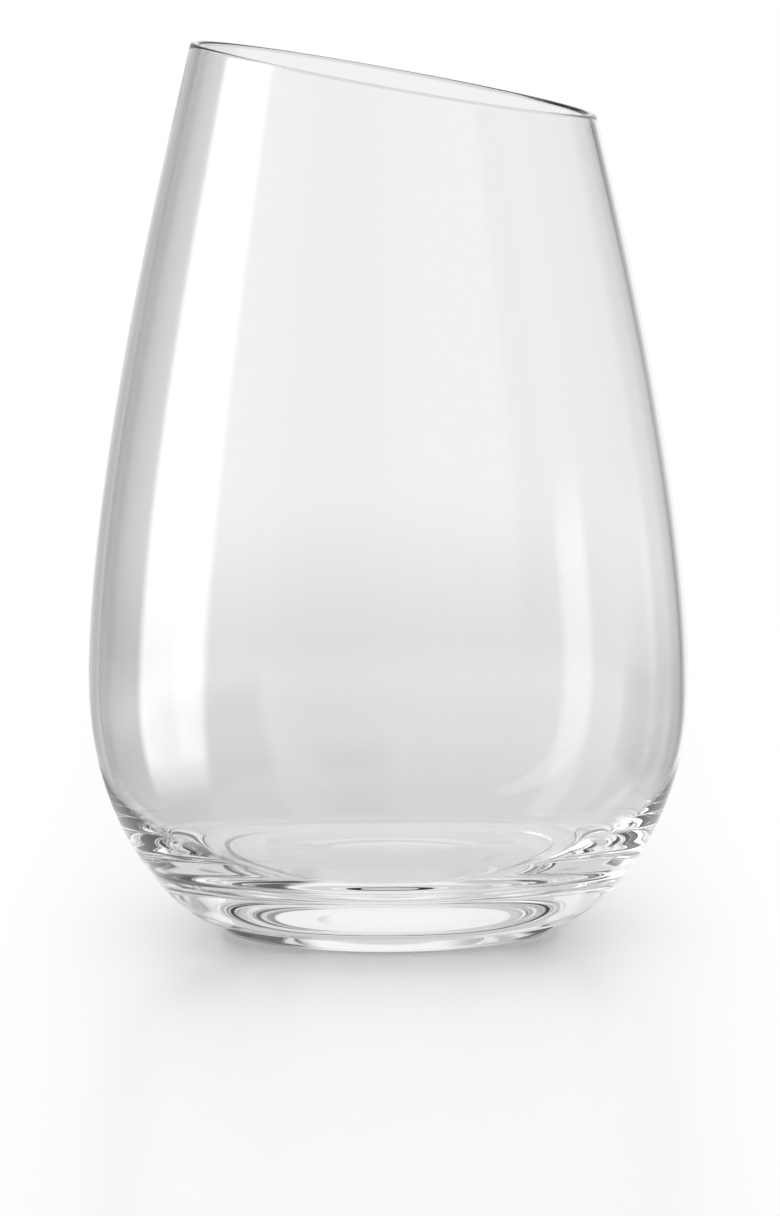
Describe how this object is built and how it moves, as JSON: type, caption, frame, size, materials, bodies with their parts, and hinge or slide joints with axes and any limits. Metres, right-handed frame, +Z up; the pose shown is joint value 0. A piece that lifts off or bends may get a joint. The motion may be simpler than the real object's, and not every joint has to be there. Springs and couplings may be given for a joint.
{
  "type": "tumbler",
  "caption": "Stemless clear glass tumbler with a round belly, thick base, narrower mouth and slanted rim, for drinks or desserts.",
  "frame": {"origin": "centre of the foot, on the surface that the glass stands on", "axes": "+Z up along the bowl's axis, +X towards the lowest point of the slanted rim, so its highest point lies at -X"},
  "size_m": [0.085, 0.085, 0.1257],
  "materials": {
    "clear_glass": "colourless, smooth, fire-polished"
  },
  "bodies": {
    "root": {"glass_body": "clear_glass"}
  },
  "joints": []
}
